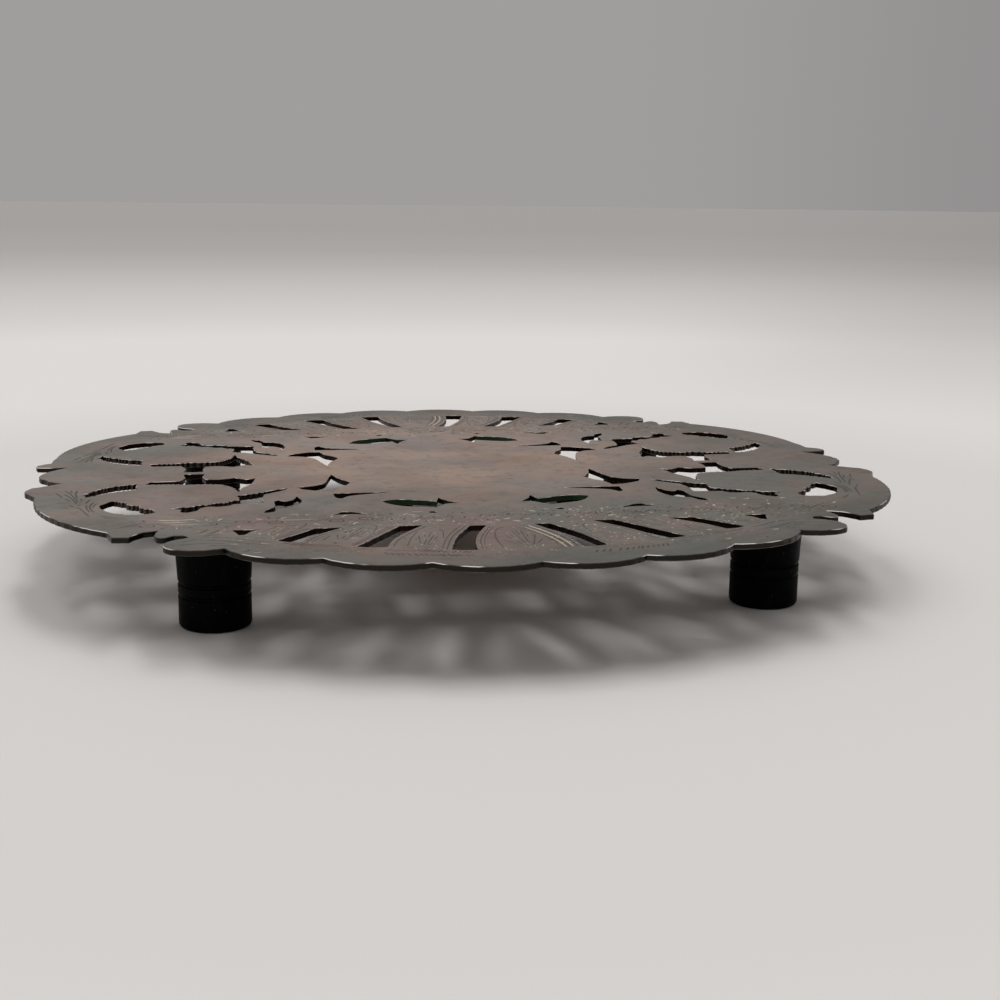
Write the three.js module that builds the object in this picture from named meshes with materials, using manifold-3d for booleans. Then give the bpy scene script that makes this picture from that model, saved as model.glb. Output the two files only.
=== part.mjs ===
// Expandable pierced trivet: two pierced half plates that slide apart on a pair of flat runners.
// Millimetres, +Z up. The origin is on the table under the middle of the closed trivet.
// +X runs to the right along the seam, and -Y is the front, so the front half slides along -Y.

import * as THREE from 'three';
import * as BufferGeometryUtils from 'three/addons/utils/BufferGeometryUtils.js';
import Module from 'manifold-3d';

const wasm = await Module();
wasm.setup();

// Pierced plate
const plateSpan = 200;        // across the side tabs
const plateThickness = 1.2;
const seamGap = 0.3;          // between the two half plates when closed
const seamStrip = 1.4;        // metal left between the seam and the side openings
const drawingSteps = 200;     // the ornament is drawn on a grid with this many steps across the tabs
const gridStep = plateSpan / drawingSteps;

// Scalloped front and back rims, as radii from the middle of the plate
const notchRadius = 96.6 * gridStep;
const crestRadius = 99.7 * gridStep;
const scallopsPerSide = 3;
const scallopPitch = THREE.MathUtils.degToRad(12);
const scallopSteps = 8;

// Feet
const footHeight = 20.3;
const footBaseRadius = 7.35;
const footTopRadius = 7.95;
const footX = 58.7 * gridStep;
const footY = 54.2 * gridStep;
const footEdge = 0.9;         // rounding at the base
const footEdgeShoulder = 0.3; // share of the rounding at its middle point
const ribHeight = 1.9;        // the ring between the two grooves
const ribBase = 7.2;
const grooveWidth = 0.6;
const grooveDepth = 0.5;
const collarBase = ribBase + ribHeight + 2 * grooveWidth;
const footSides = 32;

// Threaded boss on the plate, the screw that holds the foot to it, and their room in the foot
const bossRadius = 2.9;
const bossLength = 6;
const bossFlangeRadius = 4.6;
const bossFlange = 0.8;
const bossClearance = 0.3;
const screwRadius = 1.5;
const screwClearance = 0.2;
const screwLength = 11;
const screwHeadRadius = 2.9;
const screwHeadHeight = 1.8;
const screwSlotWidth = 0.8;
const screwSlotDepth = 0.8;
const screwRecess = 6;        // height of the seat above the table
const recessClearance = 0.9;
const boredSides = 18;
const headCrown = 0.75;       // share of a head's radius that is flat

// Runners, and the bridges that guide them
const runnerX = 20;
const runnerWidth = 8;
const runnerThickness = 1.6;
const runnerHalfLength = 50 * gridStep;
const runnerClearance = 0.3;
const bridgeMetal = 0.9;
const bridgeLength = 4;
const bridgeFlange = 2;
const innerBridgeY = 6.2;
const outerBridgeY = 12.6;

// Cross tie between the runners, with its rivets, and the stop pins at the runner ends
const tieLength = 6;
const tieThickness = 1.2;
const rivetRadius = 1.2;
const rivetHeadRadius = 2.1;
const rivetHeadHeight = 0.8;
const pinRadius = 1.2;
const pinHeadRadius = 2.2;
const pinHeadHeight = 1.1;
const pinInset = 3;           // from the runner's end to the pin's middle
const pinFit = 0.1;           // around a shank in its hole
const pinSides = 14;

// Levels
const plateBottom = footHeight;
const runnerTop = plateBottom - runnerClearance;
const runnerBottom = runnerTop - runnerThickness;

const silver = new THREE.MeshStandardMaterial({ color: 0x857d77, metalness: 1, roughness: 0.45 });
const brass = new THREE.MeshStandardMaterial({ color: 0x8f7440, metalness: 1, roughness: 0.4 });
const blackPlastic = new THREE.MeshStandardMaterial({ color: 0x161618, metalness: 0, roughness: 0.6 });
const steel = new THREE.MeshStandardMaterial({ color: 0x9a9a9c, metalness: 1, roughness: 0.35 });

// The ornament of one quarter in grid steps, as [outwards from the middle along X, outwards along Y].
// An outline is a list of stretches: each is a smooth line through its points, and two stretches meet
// in a corner. Two points make a straight stretch. The side tabs and the petals differ a little
// between the front and the back.
const rimCorner = [
    [[56.8, 78.15], [60.5, 79.2], [64.6, 78.7], [67.3, 76.8], [68, 73.6], [66.8, 70.6], [63.4, 68.3]],
    [[63.4, 68.3], [64.4, 66.4], [66.2, 66.2]],
    [[66.2, 66.2], [67.6, 67.6], [69.3, 67.6], [69.9, 65], [69.3, 61.3]],
    [[69.3, 61.3], [71.9, 62.4], [73.5, 64.4], [74.6, 66.7]],
    [[74.6, 66.7], [77.9, 66.2]],
    [[77.9, 66.2], [78.5, 63.8], [79.1, 61.5]],
];
const rimLobe = [[79.1, 61.5], [93.1, 41.5], [96.4, 25]];
const frontTab = [
    [[96.4, 25], [97.5, 22.4], [98.9, 19.6], [99.2, 17.2], [98.2, 14]],
    [[98.2, 14], [95.4, 12], [92.2, 9]],
    [[92.2, 9], [94.2, 7.6], [95.9, 5], [97.5, 2.6], [98, 0]],
];
const backTab = [
    [[96.4, 25], [96.9, 21], [96.8, 17.6]],
    [[96.8, 17.6], [99.2, 15.6], [100, 13.8], [99.6, 11.9]],
    [[99.6, 11.9], [96.5, 11.2], [92.6, 11.2]],
    [[92.6, 11.2], [94.6, 8.8], [96.4, 6], [97.6, 3], [98, 0]],
];

const openings = {
    centreRay: [
        [[4.9, 65.2], [8, 65.1]],
        [[8, 65.1], [12.2, 74.6], [15, 85.2]],
        [[15, 85.2], [12.7, 85.9], [10.2, 86]],
        [[10.2, 86], [9.5, 79.4], [7.7, 72.4], [4.9, 65.2]],
    ],
    middleRay: [
        [[17.5, 63.5], [22, 63.6]],
        [[22, 63.6], [32.2, 80.3]],
        [[32.2, 80.3], [29.6, 81.3], [26.6, 81.2]],
        [[26.6, 81.2], [24.9, 75.6], [21.8, 69.8], [17.5, 63.5]],
    ],
    outerRay: [
        [[33.5, 63.3], [38.9, 63.6]],
        [[38.9, 63.6], [46.7, 73.2]],
        [[46.7, 73.2], [44.7, 74.6], [42.3, 75]],
        [[42.3, 75], [39.3, 69.7], [33.5, 63.3]],
    ],
    cornerRay: [
        [[50, 63], [55, 62.8]],
        [[55, 62.8], [53.8, 67.5]],
        [[53.8, 67.5], [52.6, 67.3]],
        [[52.6, 67.3], [51.6, 64.8], [50, 63]],
    ],
    flame: [
        [[26.6, 51.8], [29, 49.9], [30.6, 48.7]],
        [[30.6, 48.7], [32.3, 48.4]],
        [[32.3, 48.4], [33.4, 50.3], [35, 51.5]],
        [[35, 51.5], [31, 51], [26.6, 51.8]],
    ],
    leafAndBud: [
        [[23, 38.4], [19.7, 37.2], [15.5, 38.3], [11.2, 40.4]],
        [[11.2, 40.4], [10.3, 36.4]],
        [[10.3, 36.4], [8.9, 39.8], [6.6, 42.8]],
        [[6.6, 42.8], [9.8, 43.1], [12.2, 46.8]],
        [[12.2, 46.8], [15.4, 45.6], [19, 44.2], [21.6, 41.6], [23, 38.4]],
    ],
    centreFrond: [
        [[19.2, 28.7], [24.6, 28.6], [32.6, 28.8]],
        [[32.6, 28.8], [32.3, 33.2]],
        [[32.3, 33.2], [31.2, 34.7]],
        [[31.2, 34.7], [29.6, 32.2], [26, 30.6], [19.2, 28.7]],
    ],
    horn: [
        [[31.2, 5.8], [29.8, 11.5], [27.6, 15.8]],
        [[27.6, 15.8], [28.8, 19.2], [30.7, 21.8], [31.8, 26.3]],
        [[31.8, 26.3], [35, 25.6], [39, 23]],
        [[39, 23], [40, 20.3]],
        [[40, 20.3], [36.8, 19.7], [33.7, 16.8], [32.4, 11.5], [31.2, 5.8]],
    ],
    hook: [
        [[40.7, 30.9], [39.9, 35.8], [41.2, 40.8], [43.6, 43]],
        [[43.6, 43], [45.2, 43.4], [46.2, 46.4], [48.3, 47.4]],
        [[48.3, 47.4], [47.6, 44.4], [45.8, 41.4], [45.8, 36]],
        [[45.8, 36], [44.8, 34.7]],
        [[44.8, 34.7], [43.3, 36.2]],
        [[43.3, 36.2], [41.7, 34.6], [40.7, 30.9]],
    ],
    roseEdge: [
        [[42.2, 21.3], [43.4, 23.8], [47.6, 27.8]],
        [[47.6, 27.8], [48.2, 32.6], [47.9, 36.6]],
        [[47.9, 36.6], [51.4, 37.2], [54.4, 37.4]],
        [[54.4, 37.4], [55.6, 39.2], [57.8, 39.7]],
        [[57.8, 39.7], [59.8, 39.5], [61.2, 40.8]],
        [[61.2, 40.8], [62.2, 43.6], [64.2, 45.1]],
        [[64.2, 45.1], [65.3, 44.2], [65, 42]],
        [[65, 42], [67.1, 40.6]],
        [[67.1, 40.6], [65.4, 39.6], [63.2, 39.4]],
        [[63.2, 39.4], [61.6, 37.7], [59.6, 37.6]],
        [[59.6, 37.6], [58, 35.9], [56.2, 36]],
        [[56.2, 36], [54.9, 34.2], [53, 33.4]],
        [[53, 33.4], [53.6, 28.5]],
        [[53.6, 28.5], [49.6, 26.6], [46.2, 23.8], [42.2, 21.3]],
    ],
    outerCrescent: [
        [[75.4, 12.2], [75.4, 18.8]],
        [[75.4, 18.8], [79.5, 20.8], [82.8, 23.4], [85.6, 26.4]],
        [[85.6, 26.4], [86.3, 23.4]],
        [[86.3, 23.4], [83.4, 17.6], [79.4, 13.8], [75.4, 12.2]],
    ],
    petal: [
        [[79.7, 30.8], [76.9, 33.2]],
        [[76.9, 33.2], [76.1, 35.6], [73.9, 36.8]],
        [[73.9, 36.8], [73.3, 39.3], [71.2, 40.8]],
        [[71.2, 40.8], [70.4, 43.4], [71.8, 45.2], [75.4, 45.6]],
        [[75.4, 45.6], [79, 43.3], [81.1, 39.6], [82, 35.6], [79.7, 30.8]],
    ],
    sideSpray: [
        [[60.4, seamStrip / gridStep], [65.3, seamStrip / gridStep]],
        [[65.3, seamStrip / gridStep], [64.9, 6], [66, 9.9]],
        [[66, 9.9], [72.9, 10]],
        [[72.9, 10], [73.4, 13.2]],
        [[73.4, 13.2], [68, 13.3], [64.4, 14.3]],
        [[64.4, 14.3], [60.2, 14.2], [56.4, 15.2]],
        [[56.4, 15.2], [54.4, 18.8], [53, 24.4]],
        [[53, 24.4], [52.2, 19.8], [50, 14.6], [48.9, 8.2]],
        [[48.9, 8.2], [50.9, 9.6], [53.6, 7.2]],
        [[53.6, 7.2], [56.8, 8.7], [60.2, 8.4]],
        [[60.2, 8.4], [60.9, 4.8], [60.4, seamStrip / gridStep]],
    ],
};
const backPetal = [
    [[80.4, 34.2], [77.4, 36.2]],
    [[77.4, 36.2], [76.4, 38], [74.3, 38.8]],
    [[74.3, 38.8], [73.5, 40.6], [71.3, 41.8]],
    [[71.3, 41.8], [70.6, 43.8], [71.8, 45.4], [75.4, 46]],
    [[75.4, 46], [79.2, 44], [81.5, 41], [82.2, 38], [80.4, 34.2]],
];
const dotPlace = [13.6, 51.2];
const dotRadius = 0.85;
const dotSides = 10;
const rimDivisions = 3;
const openingDivisions = 2;

// A point of the drawing, placed in the quarter with these signs of X and Y
function placed([outX, outY], signX, signY) {
    return new THREE.Vector2(outX * gridStep * signX, outY * gridStep * signY);
}

// Points along stretches that follow one another, each corner once
function tracedStretches(stretches, divisions, signX, signY) {
    const points = [];
    for (const stretch of stretches) {
        const corners = stretch.map((point) => placed(point, signX, signY));
        const steps = stretch.length > 2 ? (stretch.length - 1) * divisions : 1;
        const line = new THREE.SplineCurve(corners).getPoints(steps);
        points.push(...line.slice(0, -1));
    }
    return points;
}

// Points on the circle through three points, from the first to just before the last
function arcThrough(first, middle, last, steps) {
    const chordA = middle.clone().sub(first);
    const chordB = last.clone().sub(first);
    const cross = 2 * (chordA.x * chordB.y - chordA.y * chordB.x);
    const squareA = chordA.lengthSq();
    const squareB = chordB.lengthSq();
    const centre = new THREE.Vector2(
        first.x + (chordB.y * squareA - chordA.y * squareB) / cross,
        first.y + (chordA.x * squareB - chordB.x * squareA) / cross,
    );
    const radius = centre.distanceTo(first);
    const start = Math.atan2(first.y - centre.y, first.x - centre.x);
    const end = Math.atan2(last.y - centre.y, last.x - centre.x);
    const fullTurn = 2 * Math.PI;
    let sweep = (end - start) % fullTurn;
    if (sweep * cross < 0) sweep += Math.sign(cross) * fullTurn;
    return Array.from({ length: steps }, (_, step) => {
        const angle = start + sweep * step / steps;
        return new THREE.Vector2(centre.x + radius * Math.cos(angle), centre.y + radius * Math.sin(angle));
    });
}

// The rim of one quarter, from the middle of the front or back round to the seam
function quarterRim(signX, signY) {
    const onCircle = (angle, radius) => new THREE.Vector2(
        signX * radius * Math.sin(angle), signY * radius * Math.cos(angle));
    const points = [];
    for (let scallop = 0; scallop < scallopsPerSide; scallop += 1) {
        const start = scallop * scallopPitch;
        const isLast = scallop === scallopsPerSide - 1;
        const end = isLast ? placed(rimCorner[0][0], signX, signY) : onCircle(start + scallopPitch, notchRadius);
        const crest = onCircle(start + scallopPitch / 2, crestRadius);
        points.push(...arcThrough(onCircle(start, notchRadius), crest, end, scallopSteps));
    }
    points.push(...tracedStretches(rimCorner, rimDivisions, signX, signY));
    const lobe = rimLobe.map((point) => placed(point, signX, signY));
    points.push(...arcThrough(...lobe, 2 * scallopSteps));
    const tab = signY > 0 ? backTab : frontTab;
    points.push(...tracedStretches(tab, rimDivisions, signX, signY));
    return points.filter((point) => Math.abs(point.y) > seamGap / 2);
}

// One half plate. signY is +1 at the back and -1 at the front
function halfPlate(signY) {
    const seamLevel = signY * seamGap / 2;
    const seamEnd = frontTab.at(-1).at(-1)[0] * gridStep;
    const pattern = signY > 0 ? { ...openings, petal: backPetal } : openings;
    const right = quarterRim(1, signY);
    const left = quarterRim(-1, signY).reverse();
    const rim = [
        new THREE.Vector2(-seamEnd, seamLevel),
        ...left.slice(0, -1),
        ...right,
        new THREE.Vector2(seamEnd, seamLevel),
    ];
    if (THREE.ShapeUtils.isClockWise(rim)) rim.reverse();
    const outline = new THREE.Shape(rim);
    for (const signX of [-1, 1]) {
        for (const stretches of Object.values(pattern)) {
            outline.holes.push(new THREE.Path(tracedStretches(stretches, openingDivisions, signX, signY)));
        }
        const dotCentre = placed(dotPlace, signX, signY);
        const dot = Array.from({ length: dotSides }, (_, side) => {
            const angle = 2 * Math.PI * side / dotSides;
            return new THREE.Vector2(Math.cos(angle), Math.sin(angle)).multiplyScalar(dotRadius).add(dotCentre);
        });
        outline.holes.push(new THREE.Path(dot));
    }
    const geometry = new THREE.ExtrudeGeometry(outline, { depth: plateThickness, bevelEnabled: false });
    geometry.translate(0, 0, plateBottom);
    return geometry;
}

// A turned solid from [radius, height] pairs, standing on the Z axis
function turned(profile, sides) {
    const points = profile.map(([radius, height]) => new THREE.Vector2(radius, height));
    return new THREE.LatheGeometry(points, sides).rotateX(Math.PI / 2);
}

function box(width, depth, height, x, y, bottom) {
    return new THREE.BoxGeometry(width, depth, height).translate(x, y, bottom + height / 2);
}

function toSolid(geometry) {
    const bare = geometry.clone();
    bare.deleteAttribute('normal');
    bare.deleteAttribute('uv');
    const merged = BufferGeometryUtils.mergeVertices(bare);
    return new wasm.Manifold(new wasm.Mesh({
        numProp: 3,
        vertProperties: new Float32Array(merged.attributes.position.array),
        triVerts: new Uint32Array(merged.index.array),
    }));
}

function toGeometry(solid) {
    const mesh = solid.getMesh();
    const geometry = new THREE.BufferGeometry();
    geometry.setAttribute('position', new THREE.BufferAttribute(new Float32Array(mesh.vertProperties), 3));
    geometry.setIndex(new THREE.BufferAttribute(new Uint32Array(mesh.triVerts), 1));
    geometry.computeVertexNormals();
    return geometry;
}

function withHoles(geometry, cutters) {
    return toGeometry(cutters.reduce((solid, cutter) => solid.subtract(toSolid(cutter)), toSolid(geometry)));
}

// Black foot: straight base, two grooves with a ring between them, and a collar that widens upwards
function foot() {
    const seatTop = plateBottom - bossLength - bossClearance;
    const flangeRoom = plateBottom - bossFlange - bossClearance;
    const waist = footBaseRadius - grooveDepth;
    const outside = [
        [footBaseRadius - footEdge, 0],
        [footBaseRadius - footEdge * footEdgeShoulder, footEdge * footEdgeShoulder],
        [footBaseRadius, footEdge],
        [footBaseRadius, ribBase - grooveWidth],
        [waist, ribBase - grooveWidth / 2],
        [footBaseRadius, ribBase],
        [footBaseRadius, ribBase + ribHeight],
        [waist, ribBase + ribHeight + grooveWidth / 2],
        [footBaseRadius, collarBase - grooveWidth],
        [footTopRadius, plateBottom],
    ];
    const inside = [
        [bossFlangeRadius + bossClearance, plateBottom],
        [bossFlangeRadius + bossClearance, flangeRoom],
        [bossRadius + bossClearance, flangeRoom],
        [bossRadius + bossClearance, seatTop],
        [screwRadius + screwClearance, seatTop],
        [screwRadius + screwClearance, screwRecess],
        [screwHeadRadius + recessClearance, screwRecess],
        [screwHeadRadius + recessClearance, 0],
    ];
    return turned([...outside, ...inside, outside[0]], footSides);
}

// Threaded boss with a flange that is soldered to the underside of the plate
function boss() {
    const bottom = plateBottom - bossLength;
    const threadEnd = plateBottom - plateThickness;
    return turned([
        [0, plateBottom],
        [bossFlangeRadius, plateBottom],
        [bossFlangeRadius, plateBottom - bossFlange],
        [bossRadius, plateBottom - bossFlange],
        [bossRadius, bottom],
        [screwRadius + screwClearance, bottom],
        [screwRadius + screwClearance, threadEnd],
        [0, threadEnd],
    ].reverse(), boredSides);
}

// Slotted screw, driven in from under the foot
function footScrew() {
    const headBottom = screwRecess - screwHeadHeight;
    const body = turned([
        [0, headBottom],
        [screwHeadRadius * headCrown, headBottom],
        [screwHeadRadius, headBottom + screwHeadHeight / 2],
        [screwHeadRadius, screwRecess],
        [screwRadius, screwRecess],
        [screwRadius, screwRecess + screwLength],
        [0, screwRecess + screwLength],
    ], boredSides);
    const slotReach = 4 * screwHeadRadius;
    const slot = box(slotReach, screwSlotWidth, 2 * screwSlotDepth, 0, 0, headBottom - screwSlotDepth);
    return withHoles(body, [slot]);
}

// Flat runner with a rivet hole in the middle and a pin hole near each end
function runner(signX) {
    const bar = box(runnerWidth, 2 * runnerHalfLength, runnerThickness, signX * runnerX, 0, runnerBottom);
    const pinY = runnerHalfLength - pinInset;
    const holes = [[0, rivetRadius], [pinY, pinRadius], [-pinY, pinRadius]].map(([y, radius]) => {
        const drill = new THREE.CylinderGeometry(radius + pinFit, radius + pinFit, 3 * runnerThickness, pinSides);
        drill.rotateX(Math.PI / 2);
        return drill.translate(signX * runnerX, y, runnerBottom + runnerThickness / 2);
    });
    return withHoles(bar, holes);
}

// Cross tie under both runners, riveted to each
function runnerTie() {
    const bottom = runnerBottom - tieThickness;
    const strap = box(2 * runnerX + runnerWidth, tieLength, tieThickness, 0, 0, bottom);
    const holes = [-1, 1].map((signX) => {
        const radius = rivetRadius + pinFit;
        const drill = new THREE.CylinderGeometry(radius, radius, 3 * tieThickness, pinSides);
        return drill.rotateX(Math.PI / 2).translate(signX * runnerX, 0, bottom + tieThickness / 2);
    });
    return withHoles(strap, holes);
}

// A headed pin that fills its hole up to the top of the runner
function headedPin(radius, headRadius, headHeight, seat) {
    return turned([
        [0, seat - headHeight],
        [headRadius * headCrown, seat - headHeight],
        [headRadius, seat - headHeight / 2],
        [headRadius, seat],
        [radius, seat],
        [radius, runnerTop],
        [0, runnerTop],
    ], pinSides);
}

// Bridge soldered under a plate: two flanges, two legs and the strap that carries the runner
function bridge() {
    const innerHalf = runnerWidth / 2 + runnerClearance;
    const outerHalf = innerHalf + bridgeMetal;
    const flangeHalf = outerHalf + bridgeFlange;
    const strapTop = runnerBottom - runnerClearance;
    const strapBottom = strapTop - bridgeMetal;
    const flangeBottom = plateBottom - bridgeMetal;
    const rightSide = [
        [outerHalf, strapBottom],
        [outerHalf, flangeBottom],
        [flangeHalf, flangeBottom],
        [flangeHalf, plateBottom],
        [innerHalf, plateBottom],
        [innerHalf, strapTop],
    ];
    const leftSide = rightSide.map(([across, height]) => [-across, height]).reverse();
    const section = new THREE.Shape([...rightSide, ...leftSide].map(([x, y]) => new THREE.Vector2(x, y)));
    const solid = new THREE.ExtrudeGeometry(section, { depth: bridgeLength, bevelEnabled: false });
    return solid.rotateX(Math.PI / 2).translate(0, bridgeLength / 2, 0);
}

const trivet = new THREE.Group();

function addPiece(name, geometry, material, x = 0, y = 0) {
    const mesh = new THREE.Mesh(geometry, material);
    mesh.name = name;
    mesh.position.set(x, y, 0);
    trivet.add(mesh);
}

for (const [half, signY] of [['front', -1], ['back', 1]]) {
    addPiece(`${half}_plate`, halfPlate(signY), silver);
    for (const [side, signX] of [['left', -1], ['right', 1]]) {
        const place = `${half}_${side}`;
        addPiece(`${place}_foot`, foot(), blackPlastic, signX * footX, signY * footY);
        addPiece(`${place}_foot_boss`, boss(), brass, signX * footX, signY * footY);
        addPiece(`${place}_foot_screw`, footScrew(), steel, signX * footX, signY * footY);
        addPiece(`${place}_inner_bridge`, bridge(), brass, signX * runnerX, signY * innerBridgeY);
        addPiece(`${place}_outer_bridge`, bridge(), brass, signX * runnerX, signY * outerBridgeY);
    }
}

const stopPinY = runnerHalfLength - pinInset;
for (const [side, signX] of [['left', -1], ['right', 1]]) {
    addPiece(`${side}_runner`, runner(signX), brass);
    const rivet = headedPin(rivetRadius, rivetHeadRadius, rivetHeadHeight, runnerBottom - tieThickness);
    addPiece(`${side}_tie_rivet`, rivet, brass, signX * runnerX, 0);
    for (const [end, signY] of [['front', -1], ['back', 1]]) {
        const pin = headedPin(pinRadius, pinHeadRadius, pinHeadHeight, runnerBottom);
        addPiece(`${side}_${end}_stop_pin`, pin, brass, signX * runnerX, signY * stopPinY);
    }
}
addPiece('runner_tie', runnerTie(), brass);

export default trivet;
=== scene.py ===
# %% [markdown]
# # An expandable trivet in tarnished silver plate
#
# A trivet is a low stand for a hot dish. This one is two half discs of pierced and engraved sheet on four
# black feet, and it opens from front to back on two flat runners underneath. The working parts come from the
# frame at their real size. This lesson gives them the look of the real thing: hand-sawn openings with worn
# edges, lines cut with a graver, old silver that has gone brown and grey, and moulded black feet.

# %% Load the frame
import math
import random
from collections import namedtuple

import bpy
import numpy as np
from mathutils import Matrix, Vector
from mathutils.geometry import delaunay_2d_cdt
from mathutils.kdtree import KDTree


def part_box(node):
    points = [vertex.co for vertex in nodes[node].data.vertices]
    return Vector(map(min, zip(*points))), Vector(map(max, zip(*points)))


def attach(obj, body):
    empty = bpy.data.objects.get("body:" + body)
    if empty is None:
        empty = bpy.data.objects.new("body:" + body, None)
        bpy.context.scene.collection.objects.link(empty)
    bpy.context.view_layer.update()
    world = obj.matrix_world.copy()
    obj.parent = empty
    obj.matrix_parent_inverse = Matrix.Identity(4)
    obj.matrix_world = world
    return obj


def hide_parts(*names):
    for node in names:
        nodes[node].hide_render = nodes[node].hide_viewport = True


MM = 0.001
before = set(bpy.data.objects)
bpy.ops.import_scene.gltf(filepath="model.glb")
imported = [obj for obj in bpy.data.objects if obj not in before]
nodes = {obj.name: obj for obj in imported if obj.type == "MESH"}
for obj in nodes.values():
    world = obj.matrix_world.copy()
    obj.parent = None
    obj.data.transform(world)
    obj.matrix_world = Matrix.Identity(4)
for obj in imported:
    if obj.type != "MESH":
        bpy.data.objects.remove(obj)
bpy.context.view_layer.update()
print("nodes in the frame:", len(nodes))

# %% [markdown]
# ## The camera
#
# The photograph looks at the trivet from low in front, a little from the left. A camera has a place, a way that
# it faces and a lens. The three turns are about the upright axis, then up from the floor, then about the view.
# Blender keeps what a thing is, such as a lens or a mesh, apart from the object that puts it in the scene.


# %% Place the camera
def placed(name, data):
    made = bpy.data.objects.new(name, data)
    bpy.context.scene.collection.objects.link(made)
    return made


CAMERA_PLACE = Vector((-58.16, -354.4, 86.41)) * MM
CAMERA_TURNS = ((-10.969, "Z"), (78.511, "X"), (0.641, "Z"))
LENS_MM = 54
SENSOR_MM = 36

camera_data = bpy.data.cameras.new("camera")
camera_data.lens = LENS_MM
camera_data.sensor_width = SENSOR_MM
camera = placed("camera", camera_data)
heading, tilt, roll = (Matrix.Rotation(math.radians(turn), 4, axis) for turn, axis in CAMERA_TURNS)
camera.matrix_world = Matrix.Translation(CAMERA_PLACE) @ heading @ tilt @ roll
bpy.context.scene.camera = camera
print("camera height over the table, mm:", round(CAMERA_PLACE.z / MM, 1))

# %% [markdown]
# ## Shader nodes in a few words
#
# A material is a graph of nodes. One helper makes a node, sets it up and links it, so that a material reads like
# a recipe. An input that is given a socket is linked, and any other value is set on the node itself. The other
# helpers are the steps that every recipe here takes: sums, soft steps from 0 to 1, and colours laid over colours.


# %% Helpers for nodes
def add(tree, kind, settings=None, inputs=None):
    node = tree.nodes.new(kind)
    for name, value in (settings or {}).items():
        setattr(node, name, value)
    for name, value in (inputs or {}).items():
        if isinstance(value, bpy.types.NodeSocket):
            tree.links.new(value, node.inputs[name])
        else:
            node.inputs[name].default_value = value
    return node


def maths(tree, operation, first, second=0.0, clamp=False):
    settings = {"operation": operation, "use_clamp": clamp}
    return add(tree, "ShaderNodeMath", settings, {0: first, 1: second}).outputs[0]


def times(tree, first, second):
    return maths(tree, "MULTIPLY", first, second)


def vector(tree, operation, first, second=(0, 0, 0)):
    """The outcome of one vector operation: a vector, or a number for LENGTH."""
    node = add(tree, "ShaderNodeVectorMath", {"operation": operation}, {0: first, 1: second})
    return node.outputs["Value" if operation == "LENGTH" else "Vector"]


def along(tree, place, axis):
    return add(tree, "ShaderNodeSeparateXYZ", None, {0: place}).outputs[axis]


def eased(tree, value, start, end, most=1.0):
    """0 up to start, and then softly up to most at end."""
    inputs = {"Value": value, "From Min": start, "From Max": end, "To Max": most}
    return add(tree, "ShaderNodeMapRange", {"interpolation_type": "SMOOTHSTEP"}, inputs).outputs[0]


def mixed(tree, share, first, second):
    """A colour between first and second."""
    node = add(tree, "ShaderNodeMix", {"data_type": "RGBA"}, {"Factor": share})
    for socket, value in ((node.inputs[6], first), (node.inputs[7], second)):
        if isinstance(value, bpy.types.NodeSocket):
            tree.links.new(value, socket)
        else:
            socket.default_value = value
    return node.outputs[2]


def colour(red, green, blue):
    """A linear colour from three screen values, 0 to 255."""
    def linear(value):
        share = value / 255
        return share / 12.92 if share <= 0.04045 else ((share + 0.055) / 1.055) ** 2.4
    return (linear(red), linear(green), linear(blue), 1)


def own_place(tree):
    """Where a point lies on its own object, so that a pattern moves with the piece."""
    return add(tree, "ShaderNodeTexCoord").outputs["Object"]


def new_group(name, inputs, outputs):
    """An empty node group with float inputs and outputs, and its two end nodes."""
    group = bpy.data.node_groups.new(name, "ShaderNodeTree")
    for socket, value in inputs.items():
        made = group.interface.new_socket(socket, in_out="INPUT", socket_type="NodeSocketFloat")
        made.default_value = value
    for socket in outputs:
        group.interface.new_socket(socket, in_out="OUTPUT", socket_type="NodeSocketFloat")
    return group, group.nodes.new("NodeGroupInput"), group.nodes.new("NodeGroupOutput")


def masks_of(tree, recipe):
    """The masks of a recipe, which gives each one's node group and that group's values."""
    return {
        name: add(tree, "ShaderNodeGroup", {"node_tree": group}, values).outputs["Mask"]
        for name, (group, values) in recipe.items()
    }


def layered(tree, shade, layers):
    """A shade under layers of other colours, each given as its mask, its strength and its colour."""
    for mask, strength, over in layers:
        shade = mixed(tree, times(tree, mask, strength), shade, over)
    return shade


# %% [markdown]
# ## Effects that several finishes share
#
# Old metal and plastic are never even. Three effects do most of the work: soft patches, where tarnish or dust
# is thicker, fine hairline scratches from wiping and stacking, and small specks. Each is a node group that puts
# out a mask from 0 to 1, so brass, silver, steel and plastic can all use it with their own sizes.


# %% Patches, hairlines and specks
def make_patches():
    inputs = {"Scale": 40, "Detail": 4, "Low": 0.4, "High": 0.6, "Seed": 0}
    group, entry, end = new_group("patches", inputs, ["Mask"])
    shift = add(group, "ShaderNodeCombineXYZ", None, {0: entry.outputs["Seed"], 1: entry.outputs["Seed"]})
    noise = add(group, "ShaderNodeTexNoise", None, {
        "Vector": vector(group, "ADD", own_place(group), shift.outputs[0]),
        "Scale": entry.outputs["Scale"], "Detail": entry.outputs["Detail"],
    })
    spread = eased(group, noise.outputs["Fac"], entry.outputs["Low"], entry.outputs["High"])
    group.links.new(spread, end.inputs["Mask"])
    return group


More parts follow.
